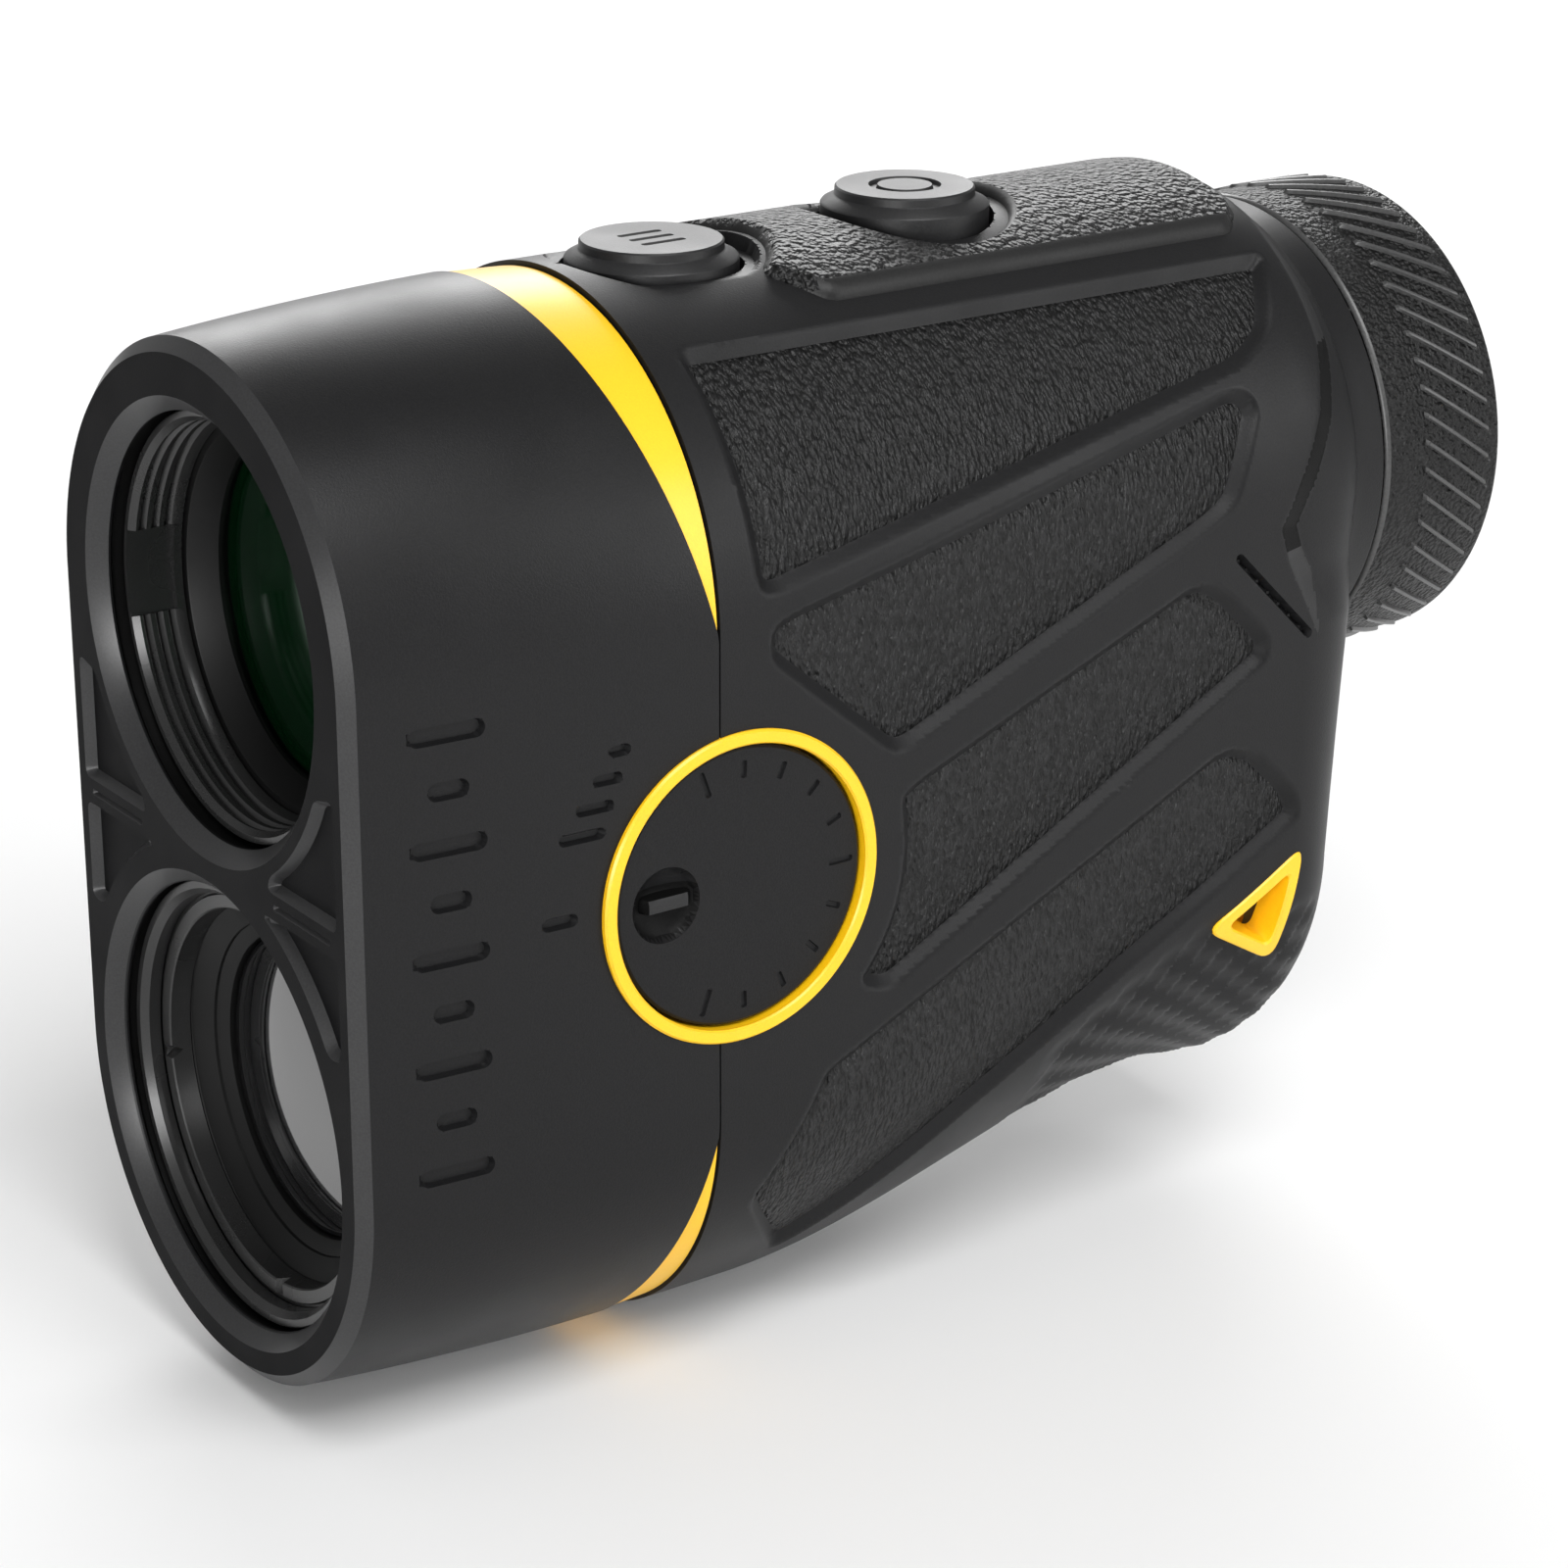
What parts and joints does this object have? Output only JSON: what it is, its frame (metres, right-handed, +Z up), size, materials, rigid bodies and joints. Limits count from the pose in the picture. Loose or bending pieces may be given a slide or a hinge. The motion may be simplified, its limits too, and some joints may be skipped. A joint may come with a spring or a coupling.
{
  "type": "laser rangefinder monocular",
  "caption": "Pocket laser rangefinder monocular with two stacked front lenses, top buttons, a side slope dial, a diopter ring and a lanyard eye.",
  "frame": {"origin": "middle of the flat nose face, midway between the two lens axes", "axes": "+Z up, -Y the way the lenses look, +Y towards the eyepiece, +X the side that carries the slope dial"},
  "size_m": [0.041, 0.098, 0.0757],
  "materials": {
    "shell_satin": "satin charcoal moulding",
    "housing_satin": "satin charcoal moulding",
    "trim_yellow": "semi-gloss yellow",
    "grained_rubber": "leather-grained black",
    "soft_rubber": "smooth matte black",
    "button_rubber": "smooth matte black",
    "dial_satin": "satin charcoal",
    "barrel_black": "black anodised",
    "coated_glass": "green multi-coated",
    "receiver_glass": "grey filter glass",
    "clear_glass": "polished",
    "cast_alloy": "bead blasted",
    "bare_alloy": "turned",
    "screw_steel": "plated",
    "board_green": "solder mask",
    "chip_black": "moulded epoxy",
    "cell_wrap": "shrink wrap",
    "inner_plastic": "moulded"
  },
  "bodies": {
    "body": {"front_shell": "shell_satin", "trim_band_upper": "trim_yellow", "trim_band_lower": "trim_yellow", "left_housing": "housing_satin", "right_housing": "housing_satin", "left_pad_top": "grained_rubber", "left_pad_upper": "grained_rubber", "left_pad_middle": "grained_rubber", "left_pad_lower": "grained_rubber", "right_pad_top": "grained_rubber", "right_pad_upper": "grained_rubber", "right_pad_middle": "grained_rubber", "right_pad_lower": "grained_rubber", "top_grip_pad": "grained_rubber", "eyepiece_collar": "housing_satin", "eyepiece_tube": "barrel_black", "dial_ring": "trim_yellow", "lanyard_insert_left": "trim_yellow", "lanyard_insert_right": "trim_yellow", "lanyard_tube": "bare_alloy", "objective_barrel": "barrel_black", "objective_ring": "barrel_black", "objective_lens": "coated_glass", "receiver_barrel": "barrel_black", "receiver_ring": "barrel_black", "receiver_lens": "receiver_glass", "optical_chassis": "cast_alloy", "prism_cage": "barrel_black", "prism_front": "clear_glass", "prism_rear": "clear_glass", "reticle_display": "clear_glass", "laser_module": "bare_alloy", "detector_module": "bare_alloy", "main_board": "board_green", "board_components": "chip_black", "button_board": "board_green", "button_switches": "chip_black", "battery_cell": "cell_wrap", "battery_tray": "inner_plastic", "usb_socket": "bare_alloy", "port_plate": "housing_satin", "usb_hinge_pin": "bare_alloy", "front_screws": "screw_steel", "case_screws": "screw_steel"},
    "mode_key": {"mode_button": "button_rubber"},
    "power_key": {"power_button": "button_rubber"},
    "port_flap": {"usb_cover": "soft_rubber"},
    "dial": {"slope_dial": "dial_satin", "dial_clip": "screw_steel", "dial_magnet": "bare_alloy"},
    "diopter": {"diopter_sleeve": "barrel_black", "diopter_grip": "grained_rubber", "eyecup": "soft_rubber"},
    "ocular": {"ocular_cell": "barrel_black", "ocular_ring": "barrel_black", "eye_lens": "coated_glass", "field_lens": "clear_glass"}
  },
  "joints": [
    {"name": "mode_press", "type": "slide", "parent": "body", "child": "mode_key", "axis": [0, 0, -1], "range_m": [0, 0.0008], "stiffness_N_per_m": 1500, "springref_m": -0.0006},
    {"name": "power_press", "type": "slide", "parent": "body", "child": "power_key", "axis": [0, 0, -1], "range_m": [0, 0.0008], "stiffness_N_per_m": 1500, "springref_m": -0.0006},
    {"name": "port_flap_hinge", "type": "hinge", "parent": "body", "child": "port_flap", "pos_m": [0, 0.08245, -0.0132], "axis": [-1, 0, 0], "range_deg": [0, 100]},
    {"name": "dial_turn", "type": "hinge", "parent": "body", "child": "dial", "pos_m": [0.0203, 0.0282, -0.0004], "axis": [-1, 0, 0], "range_deg": [0, 45]},
    {"name": "diopter_turn", "type": "hinge", "parent": "body", "child": "diopter", "pos_m": [0, 0.0915, 0.0167], "axis": [0, 1, 0], "range_deg": [-150, 150]},
    {"name": "ocular_slide", "type": "slide", "parent": "body", "child": "ocular", "axis": [0, 1, 0], "range_m": [-0.0021, 0.0021]}
  ],
  "couplings": [
    {"joint": "ocular_slide", "follows": "diopter_turn", "m_per_rad": 0.00076}
  ]
}
